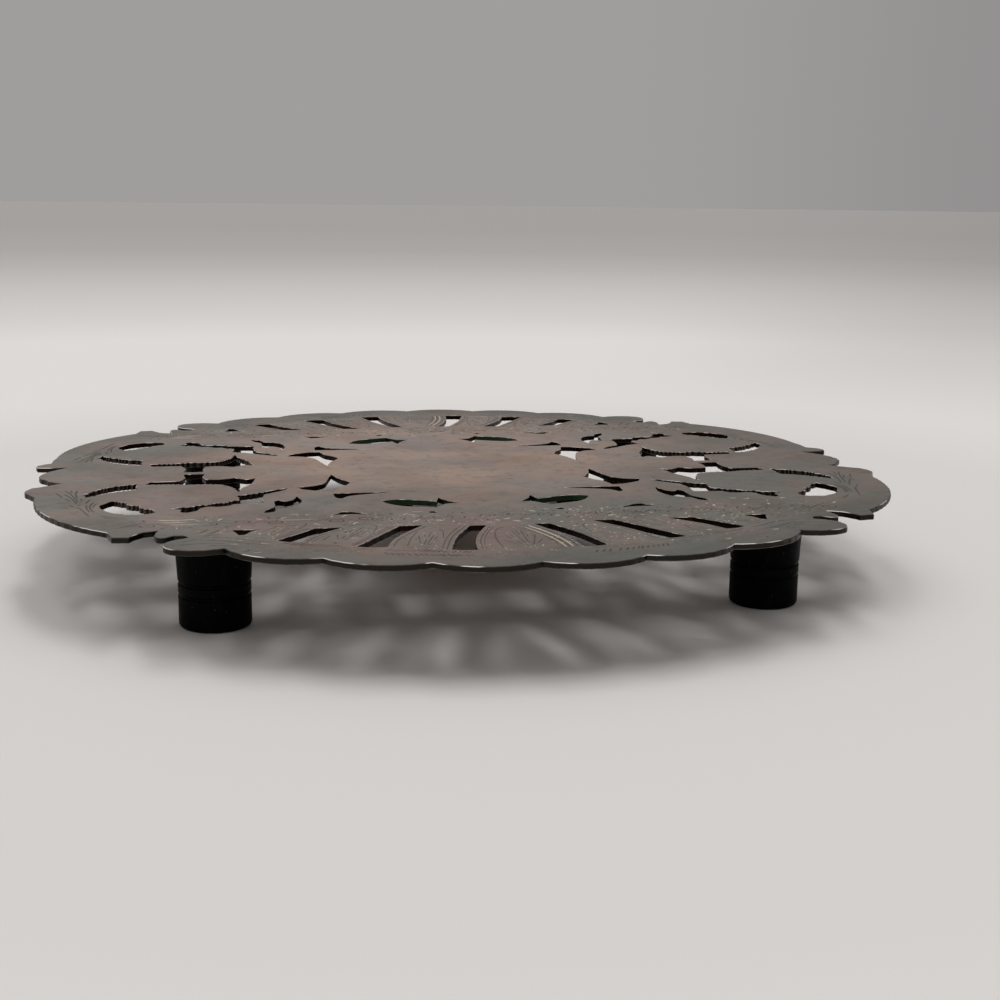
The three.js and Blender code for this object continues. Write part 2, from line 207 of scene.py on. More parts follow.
def make_hairlines():
    inputs = {"Scale": 60, "Length": 40, "Angle": 0.5, "Low": 0.58, "High": 0.7}
    group, entry, end = new_group("hairlines", inputs, ["Mask"])
    place = own_place(group)
    masks = []
    for turn in (1, -1.7):
        turned = add(group, "ShaderNodeVectorRotate", {"rotation_type": "Z_AXIS"}, {
            "Vector": place, "Angle": times(group, entry.outputs["Angle"], turn),
        })
        stretch = add(group, "ShaderNodeCombineXYZ", None, {0: 1, 1: entry.outputs["Length"], 2: 1})
        drawn = vector(group, "MULTIPLY", turned.outputs[0], stretch.outputs[0])
        noise = add(group, "ShaderNodeTexNoise", None, {
            "Vector": drawn, "Scale": entry.outputs["Scale"], "Detail": 2,
        })
        spread = add(group, "ShaderNodeMapRange", None, {
            "Value": noise.outputs["Fac"], "From Min": entry.outputs["Low"], "From Max": entry.outputs["High"],
        })
        masks.append(spread.outputs[0])
    group.links.new(maths(group, "MAXIMUM", *masks), end.inputs["Mask"])
    return group


def make_specks():
    group, entry, end = new_group("specks", {"Scale": 600, "Size": 0.25, "Share": 0.5}, ["Mask"])
    place = own_place(group)
    cells = add(group, "ShaderNodeTexVoronoi", None, {"Vector": place, "Scale": entry.outputs["Scale"]})
    near = maths(group, "LESS_THAN", cells.outputs["Distance"], entry.outputs["Size"])
    kept = add(group, "ShaderNodeSeparateColor", None, {0: cells.outputs["Color"]})
    chosen = maths(group, "LESS_THAN", kept.outputs[0], entry.outputs["Share"])
    group.links.new(times(group, near, chosen), end.inputs["Mask"])
    return group


patches = make_patches()
hairlines = make_hairlines()
specks = make_specks()
print("shared effects:", ", ".join(group.name for group in (patches, hairlines, specks)))


# %% [markdown]
# ## Old silver plate
#
# Silver goes dark where the air reaches it and stays pale where hands and dishes rub it. The plain middle is a
# warm brown and the band round it a grey mauve. Both drift between a warm and a cool tint in soft patches, and the
# front and back rims turn an old grey green. Bright flecks between the rays are painted highlights that stand for
# glinting cuts too small to model. The sheet carries painted masks for the parts that differ: edge on the rounded
# edges, wall on the sawn sides, rim on the outer border, knob on a filed tooth, cut in an engraved line and green
# where a wall has gone green. Some of them carry painted light. The rounded edges get painted glints, partly wear,
# and are painted dark between them. The crest of a tooth is painted lighter, as if lit, and the walls of the
# openings are painted dark as tarnish and painted shade. A bright cut is painted near white, as bright silver and a
# painted highlight.


# %% Build the silver
def new_material(name):
    material = bpy.data.materials.new(name)
    material.use_nodes = True
    tree = material.node_tree
    return material, tree, tree.nodes["Principled BSDF"]


def painted(tree, name):
    return add(tree, "ShaderNodeAttribute", {"attribute_name": name}).outputs["Fac"]


def dress(tree, shader, shade, clouds, roughness, relief, strength, height):
    """Link the shader's colour, a roughness that grows under the clouds, and a relief with its height in mm."""
    least, more = roughness
    rough = maths(tree, "ADD", times(tree, clouds, more), least)
    bump = add(tree, "ShaderNodeBump", None, {"Height": relief, "Strength": strength, "Distance": height * MM})
    for socket, value in (("Base Color", shade), ("Roughness", rough), ("Normal", bump.outputs[0])):
        tree.links.new(value, shader.inputs[socket])


MIDDLE_WARM = colour(201, 173, 154)
MIDDLE_COOL = colour(176, 162, 158)
BAND_WARM = colour(162, 139, 132)
BAND_COOL = colour(132, 133, 127)
TARNISH = colour(96, 84, 78)
COPPER = colour(150, 112, 94)
RUBBED = colour(206, 196, 186)
# Tarnish and painted shade on the walls inside the openings; also the colour of pits.
HOLE_TARNISH_AND_SHADE = colour(34, 25, 21)
# Painted light: the lighter crest of a filed tooth, as if lit.
LIT_KNOB_WALL = colour(92, 85, 79)
RIM_WALL = colour(44, 41, 38)
GREEN_WALL = colour(56, 80, 66)
GROOVE_DARK = colour(30, 25, 22)
# Bright untarnished cuts, painted near white as a painted highlight; also the colour of the flecks.
BRIGHT_CUT_GLINT = colour(244, 230, 212)
# Along the rounded edges: painted dark between the glints, then the painted glints, which are partly wear.
EDGE_DARK = colour(70, 65, 62)
EDGE_WEAR_AND_GLINT = colour(255, 253, 250)
OLD_GREY = colour(98, 106, 102)
WARM_PLACE = (4 * MM, 20 * MM, 0)
BAND_REACH = (30 * MM, 78 * MM)
RIM_REACH = (84 * MM, 96 * MM)
ORNAMENT_REACH = (44 * MM, 58 * MM)
MOTTLE_SHARE = 0.6
BEAD_SHINE = 0.75
SILVER_ROUGH = (0.38, 0.14)
PAINTED = ("edge", "wall", "rim", "knob", "green", "cut")
SILVER_MASKS = {
    "tint": (patches, {"Scale": 22, "Detail": 3, "Low": 0.4, "High": 0.6}),
    "mottle": (patches, {"Scale": 75, "Detail": 4, "Low": 0.38, "High": 0.62, "Seed": 2.7}),
    "clouds": (patches, {"Scale": 60, "Detail": 5, "Low": 0.3, "High": 0.75, "Seed": 3.1}),
    "smudges": (patches, {"Scale": 330, "Detail": 4, "Low": 0.5, "High": 0.72, "Seed": 8.3}),
    "blush": (patches, {"Scale": 40, "Detail": 3, "Low": 0.52, "High": 0.75, "Seed": 6.4}),
    "streaks": (hairlines, {"Scale": 26, "Length": 22, "Angle": 0.35, "Low": 0.5, "High": 0.75}),
    "fine": (hairlines, {"Scale": 90, "Length": 45, "Angle": 1.1, "Low": 0.6, "High": 0.72}),
    "pits": (specks, {"Scale": 800, "Size": 0.24, "Share": 0.2}),
    "ground": (patches, {"Scale": 85, "Detail": 2, "Low": 0.42, "High": 0.56, "Seed": 5.9}),
    "flecks": (specks, {"Scale": 1200, "Size": 0.3, "Share": 0.3}),
    "glints": (patches, {"Scale": 110, "Detail": 2, "Low": 0.49, "High": 0.57, "Seed": 7.7}),
    "sparks": (patches, {"Scale": 420, "Detail": 1, "Low": 0.5, "High": 0.59, "Seed": 4.4}),
}


def silver_plate():
    material, tree, shader = new_material("silver_plate")
    place = own_place(tree)
    masks = masks_of(tree, SILVER_MASKS)
    edge, wall, rim, knob, green, cut = (painted(tree, name) for name in PAINTED)
    radius, warm_radius = (
        vector(tree, "LENGTH", vector(tree, "MULTIPLY", vector(tree, "SUBTRACT", place, middle), (1, 1, 0)))
        for middle in ((0, 0, 0), WARM_PLACE)
    )
    band = eased(tree, warm_radius, *BAND_REACH)
    ornament = eased(tree, maths(tree, "ABSOLUTE", along(tree, place, "Y")), *ORNAMENT_REACH)
    rimward = times(tree, eased(tree, radius, *RIM_REACH), ornament)
    inner = maths(tree, "SUBTRACT", ornament, rimward)
    # Painted highlights: small bright flecks in patches between the rays, for glinting cuts too small to model.
    flecks = times(tree, times(tree, masks["flecks"], masks["ground"]), inner)

    drift = mixed(tree, MOTTLE_SHARE, masks["tint"], masks["mottle"])
    shade = mixed(tree, band, mixed(tree, drift, MIDDLE_WARM, MIDDLE_COOL), mixed(tree, drift, BAND_WARM, BAND_COOL))
    shade = layered(tree, shade, [
        (masks["clouds"], 0.4, TARNISH), (rimward, 0.6, OLD_GREY), (masks["smudges"], 0.35, TARNISH),
        (masks["blush"], 0.22, COPPER), (masks["streaks"], 0.08, RUBBED), (masks["pits"], 0.35, HOLE_TARNISH_AND_SHADE),
        (flecks, 0.6, BRIGHT_CUT_GLINT),
    ])
    # Engraved lines: dark where tarnish has settled, and painted near white as a painted highlight where the cut is
    # bright.
    for sign, lining in ((1, GROOVE_DARK), (-1, BRIGHT_CUT_GLINT)):
        shade = mixed(tree, maths(tree, "MAXIMUM", times(tree, cut, sign), 0), shade, lining)
    # Walls: tarnish and painted shade inside the openings, the rim's dark wall, painted light on each tooth's crest,
    # and green patina.
    side = mixed(tree, knob, mixed(tree, rim, HOLE_TARNISH_AND_SHADE, RIM_WALL), LIT_KNOB_WALL)
    shade = mixed(tree, wall, shade, mixed(tree, green, side, GREEN_WALL))
    # The edges: painted glints on the rim, at the crests of the teeth and in scattered sparks, partly wear, and
    # painted dark between them.
    bead_glints = maths(tree, "MAXIMUM", masks["sparks"], times(tree, knob, BEAD_SHINE))
    bright = mixed(tree, rim, bead_glints, masks["glints"])
    shade = mixed(tree, edge, shade, mixed(tree, bright, EDGE_DARK, EDGE_WEAR_AND_GLINT))

    relief = maths(tree, "SUBTRACT", times(tree, masks["clouds"], 0.4), times(tree, masks["fine"], 0.5))
    dress(tree, shader, shade, masks["clouds"], SILVER_ROUGH, relief, 0.3, 0.04)
    shader.inputs["Metallic"].default_value = 1
    return material


silver = silver_plate()
print("nodes in the silver:", len(silver.node_tree.nodes))

# %% [markdown]
# ## Brass, steel and black plastic
#
# The runners and bridges under the plate are plain brass, gone dull. The screws are steel. The feet are moulded
# black plastic, nearly without colour, with a low sheen, faint scuffs and a little dust.


# %% Build the other finishes
BRASS_MASKS = {
    "clouds": (patches, {"Scale": 70, "Detail": 4, "Low": 0.4, "High": 0.65, "Seed": 1.3}),
    "drawn": (hairlines, {"Scale": 120, "Length": 60, "Angle": 0.05, "Low": 0.5, "High": 0.7}),
    "pits": (specks, {"Scale": 700, "Size": 0.2, "Share": 0.25}),
}
BRASS_DULL, BRASS_BROWN = colour(154, 132, 90), colour(98, 80, 54)
BRASS_BRIGHT, BRASS_PIT = colour(186, 164, 118), colour(66, 48, 30)
STEEL_MASKS = {
    "clouds": (patches, {"Scale": 400, "Detail": 4, "Low": 0.45, "High": 0.7, "Seed": 5.1}),
    "turned": (hairlines, {"Scale": 400, "Length": 12, "Angle": 0.8, "Low": 0.5, "High": 0.7}),
}
STEEL_PALE, STEEL_STAIN = colour(178, 178, 180), colour(112, 104, 98)
PLASTIC_MASKS = {
    "clouds": (patches, {"Scale": 160, "Detail": 4, "Low": 0.4, "High": 0.7, "Seed": 2.2}),
    "grain": (patches, {"Scale": 1800, "Detail": 2, "Low": 0.3, "High": 0.7, "Seed": 9.1}),
    "scuffs": (hairlines, {"Scale": 220, "Length": 16, "Angle": 0.6, "Low": 0.64, "High": 0.74}),
    "dust": (specks, {"Scale": 900, "Size": 0.18, "Share": 0.12}),
}
PLASTIC_BLACK, PLASTIC_WORN = colour(2, 2, 3), colour(5, 5, 5)
SCUFF_GREY, DUST_GREY = colour(40, 38, 36), colour(60, 57, 54)
PLASTIC_SHEEN = 0.03


def plain_finish(name, recipe, tints, layers, roughness, relief, strength):
    """A finish of two tints under its layers. One of its masks is its relief."""
    material, tree, shader = new_material(name)
    masks = masks_of(tree, recipe)
    shade = mixed(tree, masks["clouds"], *tints)
    shade = layered(tree, shade, [(masks[mask], share, over) for mask, share, over in layers])
    dress(tree, shader, shade, masks["clouds"], roughness, masks[relief], strength, 0.02)
    return material, shader


brass, brass_shader = plain_finish(
    "old_brass", BRASS_MASKS, (BRASS_DULL, BRASS_BROWN), [("drawn", 0.25, BRASS_BRIGHT), ("pits", 0.6, BRASS_PIT)],
    (0.32, 0.2), "drawn", 0.3)
steel, steel_shader = plain_finish(
    "screw_steel", STEEL_MASKS, (STEEL_PALE, STEEL_STAIN), [], (0.28, 0.25), "turned", 0.3)
plastic, plastic_shader = plain_finish(
    "black_moulding", PLASTIC_MASKS, (PLASTIC_BLACK, PLASTIC_WORN),
    [("scuffs", 0.3, SCUFF_GREY), ("dust", 0.4, DUST_GREY)], (0.42, 0.18), "grain", 0.25)
brass_shader.inputs["Metallic"].default_value = 1
steel_shader.inputs["Metallic"].default_value = 1
plastic_shader.inputs["Specular IOR Level"].default_value = PLASTIC_SHEEN
print("finishes:", ", ".join(finish.name for finish in (silver, brass, steel, plastic)))

# %% [markdown]
# ## Reading the pierced outline
#
# The frame's two half plates hold the outline of the rim and of every opening as short straight steps. The top
# face's border gives them back: a side that belongs to one top triangle only is on a border, and following such
# sides from point to point walks round each opening with the metal always on the left.

# %% Walk round the openings
FLAT = 0.01


def border_loops(node):
    """Each border of the node's top face as an array of points in mm, with the metal on the left."""
    mesh = nodes[node].data
    place = [tuple(round(value / MM, 4) for value in vertex.co) for vertex in mesh.vertices]
    top = max(point[2] for point in place)
    sides = set()
    for face in mesh.polygons:
        corners = [place[index] for index in face.vertices]
        if all(abs(corner[2] - top) < FLAT for corner in corners):
            sides.update(zip(corners, corners[1:] + corners[:1]))
    following = {start: end for start, end in sides if (end, start) not in sides}
    loops = []
    while following:
        start, point = following.popitem()
        loop = [start]
        while point != start:
            loop.append(point)
            point = following.pop(point)
        loops.append(np.array(loop)[:, :2])
    return sorted(loops, key=lambda loop: (-len(loop), tuple(loop.mean(0))))


outlines = {half: border_loops(f"{half}_plate") for half in ("front", "back")}
print("borders on the front half:", len(outlines["front"]))

# %% [markdown]
# ## A hand-sawn outline
#
# The sheet was pierced with a saw and filed by hand. So each stretch between two corners is redrawn as a smooth
# curve with many more points, and then given a slight waver. Round the four roses the file left a row of small
# round teeth with sharp notches between them, as on the edge of a carnation. The teeth vary a little in pitch and
# size. All lengths here are in mm, and the places are those of the back right quarter.

# %% Redraw each border
CORNER_TURN = math.radians(34)
NO_LENGTH = 1e-9
STEP = 0.42
SEAM_STEP = STEP * 8
TOOTHED_STEP = 0.14
WAVER = 0.05
PLAIN_WAVER = 0.02
WAVER_LENGTH = 3.1
TOOTH_DEPTH = 0.6
TOOTH_PITCH = 1.3
TOOTH_MIDDLE = 0.55
TOOTH_SIZE, SIZE_SPREAD, SIZE_WAVES = 0.8, 0.3, 11
PITCH_SPREAD, PITCH_WAVES = 0.35, 7
CORNER_EASE = 1.0
RIM_POINTS = 200
ROSE = (66, 27)
ROSE_REACH = 25
CRESCENT = (81, 18)
GREEN_LEAF = (15, 41)
SAME_PLACE = 5
SEAM_BAND = 0.4
SEAM_HALF = 0.05
RIM_RADIUS = 0.19
EDGE_RADIUS = 0.11
SEAM_RADIUS = 0.02
PLAIN_WEAR_AND_GLINT = 0.6
Border = namedtuple("Border", "points normals corners rounding worn knob rim green")


def turn_angles(loop):
    ahead = np.roll(loop, -1, 0) - loop
    behind = loop - np.roll(loop, 1, 0)
    cross = behind[:, 0] * ahead[:, 1] - behind[:, 1] * ahead[:, 0]
    dot = (behind * ahead).sum(1)
    return np.arctan2(cross, dot)


def smooth_stretch(points, step):
    """Points along a smooth curve through the given ones, without the last."""
    if len(points) == 2:
        parts = max(1, round(np.linalg.norm(points[1] - points[0]) / step))
        share = np.arange(parts)[:, None] / parts
        return points[0] + share * (points[1] - points[0])
    before = np.vstack([2 * points[0] - points[1], points[:-2]])
    after = np.vstack([points[2:], 2 * points[-1] - points[-2]])
    drawn = []
    for a, b, c, d in zip(before, points[:-1], points[1:], after):
        parts = max(1, round(np.linalg.norm(c - b) / step))
        t = np.arange(parts)[:, None] / parts
        drawn.append(b + 0.5 * t * (c - a + t * (2 * a - 5 * b + 4 * c - d + t * (3 * (b - c) + d - a))))
    return np.vstack(drawn)


def unit(vectors):
    return vectors / np.linalg.norm(vectors, axis=1)[:, None]


def leftward(ways):
    return np.stack([-ways[:, 1], ways[:, 0]], 1)


def left_normals(loop):
    """The way into the metal at each point of a closed loop."""
    ahead = unit(np.roll(loop, -1, 0) - loop)
    ways = ahead + np.roll(ahead, 1, 0)
    return leftward(ways / np.maximum(np.linalg.norm(ways, axis=1), NO_LENGTH)[:, None])


def redrawn(loop, step):
    """The loop with more points, and which of these are its corners."""
    size = len(loop)
    corner_at = np.flatnonzero(np.abs(turn_angles(loop)) > CORNER_TURN)
    pieces = []
    starts = []
    for first, last in zip(corner_at, np.roll(corner_at, -1)):
        span = (last - first) % size or size
        points = loop[(first + np.arange(span + 1)) % size]
        starts.append(sum(map(len, pieces)))
        at_seam = np.ptp(points[:, 1]) < FLAT and abs(points[0, 1]) < SEAM_BAND
        pieces.append(smooth_stretch(points, SEAM_STEP if at_seam else step))
    return np.vstack(pieces), starts


def file_teeth(towards, normals, travel, length, is_crescent, draw):
    """How far the teeth on the side of the rose move each point, and how far out on a tooth it is."""
    facing = (normals * unit(towards)).sum(1)
    facing = np.clip((np.abs(facing) if is_crescent else facing) * 2 - 0.5, 0, 1)
    teeth = max(1, round(length / TOOTH_PITCH))
    phase = travel / length * teeth + PITCH_SPREAD * np.sin(2 * np.pi * travel / length * PITCH_WAVES)
    size = TOOTH_SIZE + SIZE_SPREAD * np.sin(2 * np.pi * travel / length * SIZE_WAVES + draw.random() * 6)
    crest = np.abs(np.sin(np.pi * phase))
    return facing * size * TOOTH_DEPTH * (TOOTH_MIDDLE - crest), facing * crest ** 2 * np.clip(size, 0, 1)


def hand_cut(loop, seed):
    """The loop redrawn with more points, a slight waver and the roses' teeth."""
    middle = np.abs(loop.mean(0))
    is_rim = len(loop) > RIM_POINTS
    near_rose = not is_rim and np.linalg.norm(middle - ROSE) < ROSE_REACH
    is_green = not is_rim and np.linalg.norm(middle - GREEN_LEAF) < SAME_PLACE
    drawn, starts = redrawn(loop, TOOTHED_STEP if near_rose else STEP)
    corners = np.zeros(len(drawn), bool)
    corners[starts] = True
    sides = np.linalg.norm(np.roll(drawn, -1, 0) - drawn, axis=1)
    travel = np.concatenate([[0], np.cumsum(sides)[:-1]])
    length = sides.sum()
    normals = left_normals(drawn)
    gap = np.full(len(drawn), length)
    for start in starts:
        away = np.abs(travel - travel[start])
        gap = np.minimum(gap, np.minimum(away, length - away))
    draw = random.Random(seed)
    shift = np.zeros(len(drawn))
    waver = WAVER if near_rose or is_rim else PLAIN_WAVER
    for amount, wave in ((1, WAVER_LENGTH), (0.6, WAVER_LENGTH / 2.3)):
        waves = max(1, round(length / wave))
        shift += waver * amount * np.sin(2 * np.pi * (travel / length * waves + draw.random()))
    knob = np.zeros(len(drawn))
    if near_rose:
        towards = np.array(ROSE) * np.sign(loop.mean(0)) - drawn
        is_crescent = np.linalg.norm(middle - CRESCENT) < SAME_PLACE
        tooth, knob = file_teeth(towards, normals, travel, length, is_crescent, draw)
        shift += tooth
    at_seam = np.abs(drawn[:, 1]) < SEAM_BAND
    shift *= np.clip(gap / CORNER_EASE, 0, 1) * ~at_seam
    drawn = drawn + normals * shift[:, None]
    drawn[at_seam, 1] = np.sign(drawn[at_seam, 1]) * SEAM_HALF
    rounding = np.where(at_seam, SEAM_RADIUS, RIM_RADIUS if is_rim else EDGE_RADIUS)
    # How strongly an edge takes its wear and painted glints: full on the rim and round the roses, less elsewhere,
    # none at the seam.
    worn = np.where(at_seam, 0, 1 if is_rim or near_rose else PLAIN_WEAR_AND_GLINT)
    return Border(drawn, left_normals(drawn), corners, rounding, worn, knob, is_rim, is_green)


borders = {
    half: [hand_cut(loop, f"{half} {place}") for place, loop in enumerate(loops)]
    for half, loops in outlines.items()
}
print("points on the front borders:", sum(len(border.points) for border in borders["front"]))

# %% [markdown]
# ## Engraved lines
#
# A graver cuts a V-shaped groove that narrows to nothing at both ends. The drawing is made for one quarter, as
# points in mm outwards along X and Y, and is laid out four times with a slightly different hand each time. A line
# keeps clear of the openings and of the lines that are already there, so it breaks off where there is no room.
# Its tone is above 0 where tarnish has settled in it, and below 0 where the cut is still bright, which is painted
# near white as a painted highlight.
#
# The side lobes, the corner leaves, the streaks and the sides of the rays are drawn point by point. The rest is
# made by rule: a shell in each panel between two rays, given by its lean, half width and two radii; beads, a
# herringbone and ripples along the rim; a running vine; and small curls that fill the ground, given by where they
# lie in X and Y, their size and their number.

# %% Lay out the drawing
LINE_STEP = 0.45
KEEP_OFF = 0.5
APART = 0.55
LINE_HALF = 0.21
DARK_DEPTH = 0.08
BRIGHT_DEPTH = 0.11
SHORTEST = 1.0
TAPER = 1.2
HAND = 0.12
UNEVEN = (0.8, 1.1)
DARK, SOFT, FAINT, GLEAM, BRIGHT = 1.0, 0.8, 0.5, -0.6, -1.0
BOLD, MEDIUM, FINE = 1.45, 1.1, 1
Stroke = namedtuple("Stroke", "line half_width depth tone")

LOBE_LINES = [
    [(91.2, 17.6), (89.9, 20.4), (88.4, 25.6), (86.9, 31.6)],
    [(90.6, 21.4), (89.4, 24.4), (88.1, 28.2), (86.8, 33.2)], [(90.2, 26.6), (88.9, 28.9), (87.4, 31.8), (86.2, 35)],
    [(89.3, 17.4), (88.6, 21.6), (87.6, 26.6), (86.3, 32.4)],
    [(87.7, 17.8), (87.8, 22), (87, 27), (85.9, 31.4)], [(86.6, 26.8), (86, 29.4), (85.4, 32.8)],
    [(84.2, 28.1), (84.8, 30), (85.2, 33.2)], [(87.9, 36.6), (86.4, 37.4), (85.6, 39.4), (84.6, 42.8), (83.5, 46.4)],
    [(84, 30.4), (84.6, 33.5), (84.4, 37.8), (83.3, 42.4)], [(83.4, 31.4), (83.9, 34.4), (83.8, 38), (82.6, 42.6)],
    [(82.8, 32.4), (83.3, 35.4), (83.2, 38.6), (82, 43)], [(88.6, 33.6), (87.6, 35.2), (86.9, 37.2)],
    [(92.3, 20.6), (91, 24.4), (89.8, 29)], [(82, 45), (79, 47.4), (75.4, 48.2)],
    [(81, 46.8), (78.4, 48.9), (74.6, 49.8)],
]
LEAF_LINES = [
    [(48.6, 76.2), (51.5, 75.1), (53.4, 74), (57.1, 71.7), (60.6, 71)],
    [(47.1, 74.5), (50.3, 73), (53.5, 70.6), (56.8, 69), (61, 68.7)],
    [(56, 74), (59.4, 73.2), (63, 73.8), (65.4, 74.6)], [(54.4, 76.6), (57.4, 75.6), (60.4, 76)],
    [(56.6, 66), (59, 66.6), (61, 67.4)], [(57.5, 61.6), (58.7, 64.2), (60.3, 66.2)],
    [(59.5, 61.2), (60.6, 63.6), (62, 65.2)], [(61.4, 70.2), (63.4, 71), (65, 72.4)],
]
STREAKS = [
    ([(61.5, 52), (65.6, 52.4), (70, 52.2)], BRIGHT), ([(63.4, 54.2), (66.4, 54.4), (69.4, 54.1)], BRIGHT),
    ([(60.8, 56.2), (64, 56.5), (67.6, 56.2)], GLEAM), ([(38.4, 54.6), (42, 54.9), (46, 54.6)], GLEAM),
]
RAY_SIDES = [
    ([(4.9, 65.2), (7.7, 72.4), (9.5, 79.4), (10.2, 86)], 1, 5), ([(8, 65.1), (12.2, 74.6), (15, 85.2)], -1, 2),
    ([(17.5, 63.5), (21.8, 69.8), (24.9, 75.6), (26.6, 81.2)], 1, 2),
    ([(22, 63.6), (27.2, 72), (32.2, 80.3)], -1, 2), ([(33.5, 63.3), (39.3, 69.7), (42.3, 75)], 1, 2),
    ([(38.9, 63.6), (42.8, 68.4), (46.7, 73.2)], -1, 2),
]
RAY_OFF = 1.0
RAY_APART = 0.75
SHELLS = [(0, 5, 66.8, 86.2), (13.6, 2.9, 68, 85.4), (24.8, 3.4, 67, 84.4), (35.4, 2.3, 70.6, 83)]
DOME_SIZES = (1, 0.76, 0.5)
DOME_WIDTHS = (1.08, 1.05, 0.72)
SHELL_RIBS = 9
HATCH_START = 7.6
HATCH_END = 17.5
HATCH_PITCH = 0.66
HATCH_ROWS = ((86.5, 89, 1), (89.5, 92, -1))
BEAD_PITCH = 0.95
BEADS = ((0.8, 88.9, 0.9), (0.8, 90.4, 0.7))
RIPPLES = (86.4, 87.3, 88.2, 89.1, 90, 90.9)
RIPPLE_END = 37
VINE_START, VINE_END = 2, 79
VINE_LEVEL = 56.2
VINE_WAVE = 12.5
VINE_SWING = 2.1
CURL_REACH = 2.3
CURL_TURN = 3.4 * math.pi
CURL_LENGTH = (1.8, 4.6)
LEAF_APART, LEAF_LEAN, LEAF_LENGTH = 1.7, 1.6, (1.6, 2.6)
CURLS = [
    ((22, 36), (50, 62), (0.5, 1), 60), ((38, 52), (50, 64), (0.5, 1), 60), ((10, 32), (64, 86), (0.5, 1.4), 60),
    ((34, 56), (64, 84), (0.5, 1.3), 40), ((1, 20), (48, 63), (0.6, 1.5), 24), ((52, 66), (46, 62), (0.5, 1.2), 24),
]


def smooth(points):
    points = np.array(points, float)
    return np.vstack([smooth_stretch(points, LINE_STEP), points[-1:]])


def in_panel(angle, across, radius):
    """A point of a panel whose middle line leans outwards by an angle in degrees."""
    turn = math.radians(angle)
    return (radius * math.sin(turn) + across * math.cos(turn), radius * math.cos(turn) - across * math.sin(turn))


def shell(angle, half, inner, outer):
    """A dome, two broken domes inside it, and ribs that spread from the middle of its foot."""
    length = outer - inner
    for size in DOME_SIZES:
        top = outer - length * size
        levels = (outer - 0.6, outer - length * size * 0.5, top + length * 0.12)
        dome = [(-half * size * width, level) for width, level in zip(DOME_WIDTHS, levels)]
        dome += [(0, top)] + [(-across, radius) for across, radius in reversed(dome)]
        line = smooth([in_panel(angle, *point) for point in dome])
        if size == 1:
            yield line, SOFT
        else:
            yield from ((line[start:start + 3], GLEAM) for start in range(0, len(line) - 3, 4))
    for rib in range(SHELL_RIBS):
        lean = (rib / (SHELL_RIBS - 1) - 0.5) * 2
        start = (lean * half * 0.2, outer - length * 0.12)
        end = (lean * half * 0.8, outer - length * (0.84 - 0.42 * lean * lean))
        middle = (lean * half * 0.52, (start[1] + end[1]) / 2)
        yield smooth([in_panel(angle, *point) for point in (start, middle, end)]), SOFT


def vine(draw):
    """A running stem with a curl in each bend and three leaves outside it."""
    stem = np.arange(VINE_START, VINE_END, LINE_STEP)
    yield np.stack([stem, VINE_LEVEL + VINE_SWING * np.sin(2 * math.pi * stem / VINE_WAVE)], 1), SOFT
    for bend in range(int((VINE_END - VINE_START) / VINE_WAVE * 2)):
        side = 1 if bend % 2 == 0 else -1
        middle = VINE_WAVE * (bend / 2 + 0.25)
        turns = np.linspace(0, CURL_TURN, 30)
        reach = CURL_REACH * (1 - turns / turns[-1] * 0.8)
        curl = [reach * np.cos(turns) + middle, VINE_LEVEL - side * (0.7 - reach * np.sin(turns) * 0.8)]
        yield np.stack(curl, 1), DARK
        for leaf in (-1, 0, 1):
            foot = (middle + leaf * LEAF_APART, VINE_LEVEL + side * (VINE_SWING + 0.7 - abs(leaf) * 0.5))
            tip = (foot[0] + leaf * LEAF_LEAN + draw.uniform(-0.5, 0.5), foot[1] + side * draw.uniform(*LEAF_LENGTH))
            bow = ((foot[0] + tip[0]) / 2 + 0.5, (foot[1] + tip[1]) / 2)
            yield smooth([foot, bow, tip]), draw.choice((DARK, SOFT, BRIGHT))


def ray_lines(is_right):
    """Lines that follow the sides of the rays."""
    for points, side, count in RAY_SIDES:
        line = smooth(points)
        across = side * leftward(unit(np.gradient(line, axis=0)))
        for place in range(count if is_right else 2):
            tone = (DARK, BRIGHT)[place % 2] if count > 2 and is_right else (SOFT, FAINT)[place]
            yield (line + across * (RAY_OFF + RAY_APART * place))[place:], tone


def rim_band(draw):
    """Beads, a herringbone and ripples between the rays and the rim."""
    for angle, radius, length in BEADS:
        while angle < HATCH_START:
            bead = smooth([in_panel(angle, 0, radius), in_panel(angle + 0.1, 0, radius + length)])
            yield bead, draw.choice((SOFT, BRIGHT))
            angle += BEAD_PITCH * draw.uniform(0.9, 1.1)
    for inner, outer, side in HATCH_ROWS:
        angle = HATCH_START
        while angle < HATCH_END:
            lean = side * HATCH_PITCH * 1.6
            ends = [in_panel(angle - lean / 2, 0, inner), in_panel(angle + lean / 2, 0, outer)]
            yield smooth(ends), DARK
            angle += HATCH_PITCH * draw.uniform(0.9, 1.15)
    for place, radius in enumerate(RIPPLES):
        start = HATCH_END + 1 + draw.uniform(0, 1.5)
        turns = np.linspace(start, RIPPLE_END - place * 1.8 - draw.uniform(0, 2), 12)
        ripple = smooth([in_panel(turn, 0, radius + 0.5 * math.sin(turn / 2)) for turn in turns])
        yield ripple, (DARK, SOFT)[place % 2]


